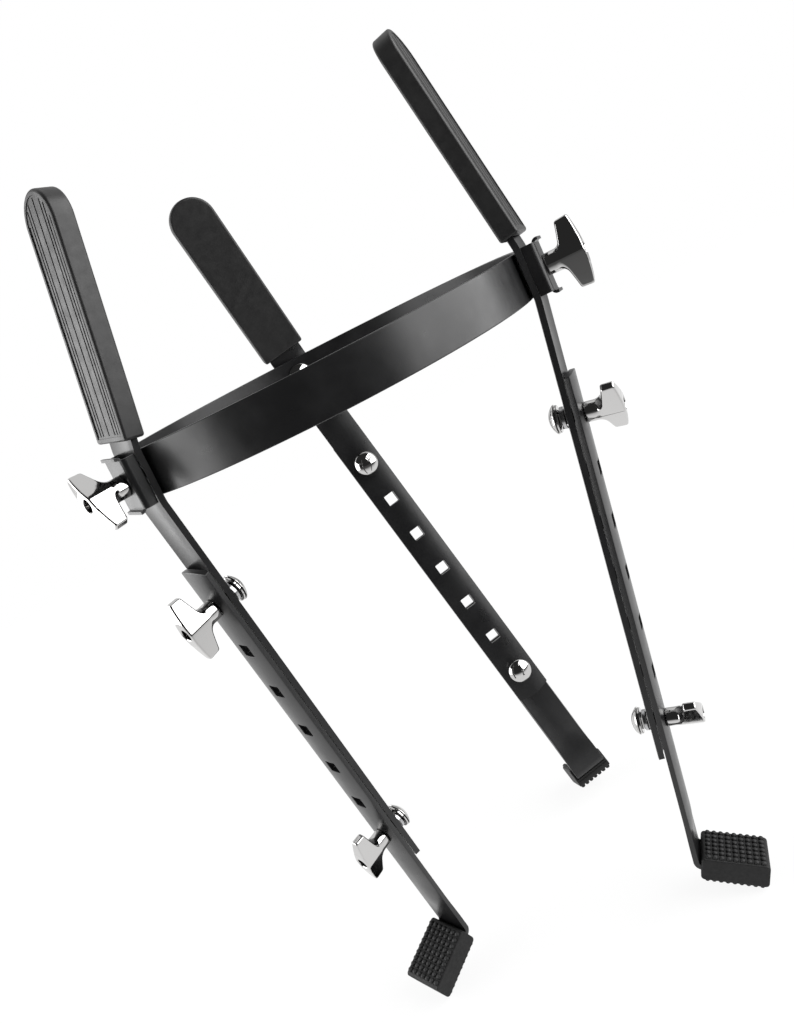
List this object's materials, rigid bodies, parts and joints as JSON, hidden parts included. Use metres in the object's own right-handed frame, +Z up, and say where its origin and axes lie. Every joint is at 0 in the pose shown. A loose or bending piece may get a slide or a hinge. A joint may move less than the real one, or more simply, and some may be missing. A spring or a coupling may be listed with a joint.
{
  "type": "conga stand",
  "caption": "Low drum stand: a flat steel hoop carried by legs of pressed strip, with rubber-covered arms above it, swivel clamps, and a bolted slide for height.",
  "frame": {"origin": "on the floor under the stand, at the middle of its bounding box's underside", "axes": "+Z up, square to the hoop; +Y from the picture's viewer towards the back leg; +X to the viewer's right"},
  "size_m": [0.3462, 0.3478, 0.6267],
  "materials": {
    "powder_coat": "black satin powder coat on steel strip",
    "grip_rubber": "black moulded rubber, one face smooth and the other grooved",
    "foot_rubber": "matt black moulded rubber with rows of nubs",
    "chrome": "polished chrome plate",
    "washer_steel": "bright plated spring steel, less polished than the nuts"
  },
  "bodies": {
    "ring": {"hoop": "powder_coat", "hoop_bolt_right": "chrome", "hoop_bolt_back": "chrome", "hoop_bolt_left": "chrome"},
    "leg_right": {"upper_bar_right": "powder_coat", "lower_bar_right": "powder_coat", "arm_grip_right": "grip_rubber", "hoop_clamp_right": "powder_coat", "foot_right": "foot_rubber", "upper_leg_bolt_right": "chrome", "upper_flat_washer_right": "chrome", "upper_spring_washer_right": "washer_steel", "lower_leg_bolt_right": "chrome", "lower_flat_washer_right": "chrome", "lower_spring_washer_right": "washer_steel"},
    "leg_back": {"upper_bar_back": "powder_coat", "lower_bar_back": "powder_coat", "arm_grip_back": "grip_rubber", "hoop_clamp_back": "powder_coat", "foot_back": "foot_rubber", "upper_leg_bolt_back": "chrome", "upper_flat_washer_back": "chrome", "upper_spring_washer_back": "washer_steel", "lower_leg_bolt_back": "chrome", "lower_flat_washer_back": "chrome", "lower_spring_washer_back": "washer_steel"},
    "leg_left": {"upper_bar_left": "powder_coat", "lower_bar_left": "powder_coat", "arm_grip_left": "grip_rubber", "hoop_clamp_left": "powder_coat", "foot_left": "foot_rubber", "upper_leg_bolt_left": "chrome", "upper_flat_washer_left": "chrome", "upper_spring_washer_left": "washer_steel", "lower_leg_bolt_left": "chrome", "lower_flat_washer_left": "chrome", "lower_spring_washer_left": "washer_steel"},
    "hoop_nut_right": {"hoop_wing_nut_right": "chrome"},
    "upper_nut_right": {"upper_wing_nut_right": "chrome"},
    "lower_nut_right": {"lower_wing_nut_right": "chrome"},
    "hoop_nut_back": {"hoop_wing_nut_back": "chrome"},
    "upper_nut_back": {"upper_wing_nut_back": "chrome"},
    "lower_nut_back": {"lower_wing_nut_back": "chrome"},
    "hoop_nut_left": {"hoop_wing_nut_left": "chrome"},
    "upper_nut_left": {"upper_wing_nut_left": "chrome"},
    "lower_nut_left": {"lower_wing_nut_left": "chrome"}
  },
  "joints": [
    {"name": "leg_swivel_right", "type": "hinge", "parent": "ring", "child": "leg_right", "pos_m": [0.13432, -0.09742, 0.46023], "axis": [0.866, -0.5, 0], "range_deg": [-16.8, 23.2]},
    {"name": "hoop_nut_turn_right", "type": "hinge", "parent": "ring", "child": "hoop_nut_right", "pos_m": [0.13432, -0.09742, 0.46023], "axis": [0.866, -0.5, 0], "continuous": true},
    {"name": "upper_nut_turn_right", "type": "hinge", "parent": "leg_right", "child": "upper_nut_right", "pos_m": [0.13284, -0.10272, 0.36485], "axis": [0.8527, -0.5017, -0.1459], "continuous": true},
    {"name": "lower_nut_turn_right", "type": "hinge", "parent": "leg_right", "child": "lower_nut_right", "pos_m": [0.09797, -0.09702, 0.14143], "axis": [0.8527, -0.5017, -0.1459], "continuous": true},
    {"name": "leg_swivel_back", "type": "hinge", "parent": "ring", "child": "leg_back", "pos_m": [0.00182, 0.13208, 0.46023], "axis": [0, 1, 0], "range_deg": [-11.7, 28.3]},
    {"name": "hoop_nut_turn_back", "type": "hinge", "parent": "ring", "child": "hoop_nut_back", "pos_m": [0.00182, 0.13208, 0.46023], "axis": [0, 1, 0], "continuous": true},
    {"name": "upper_nut_turn_back", "type": "hinge", "parent": "leg_back", "child": "upper_nut_back", "pos_m": [0.01559, 0.13131, 0.36584], "axis": [0.0251, 0.9848, -0.1718], "continuous": true},
    {"name": "lower_nut_turn_back", "type": "hinge", "parent": "leg_back", "child": "lower_nut_back", "pos_m": [0.04775, 0.09203, 0.14541], "axis": [0.0251, 0.9848, -0.1718], "continuous": true},
    {"name": "leg_swivel_left", "type": "hinge", "parent": "ring", "child": "leg_left", "pos_m": [-0.13068, -0.09742, 0.46023], "axis": [-0.866, -0.5, 0], "range_deg": [-12.6, 27.4]},
    {"name": "hoop_nut_turn_left", "type": "hinge", "parent": "ring", "child": "hoop_nut_left", "pos_m": [-0.13068, -0.09742, 0.46023], "axis": [-0.866, -0.5, 0], "continuous": true},
    {"name": "upper_nut_turn_left", "type": "hinge", "parent": "leg_left", "child": "upper_nut_left", "pos_m": [-0.13673, -0.08672, 0.36558], "axis": [-0.8648, -0.4747, -0.1637], "continuous": true},
    {"name": "lower_nut_turn_left", "type": "hinge", "parent": "leg_left", "child": "lower_nut_left", "pos_m": [-0.11877, -0.04317, 0.14434], "axis": [-0.8648, -0.4747, -0.1637], "continuous": true}
  ]
}
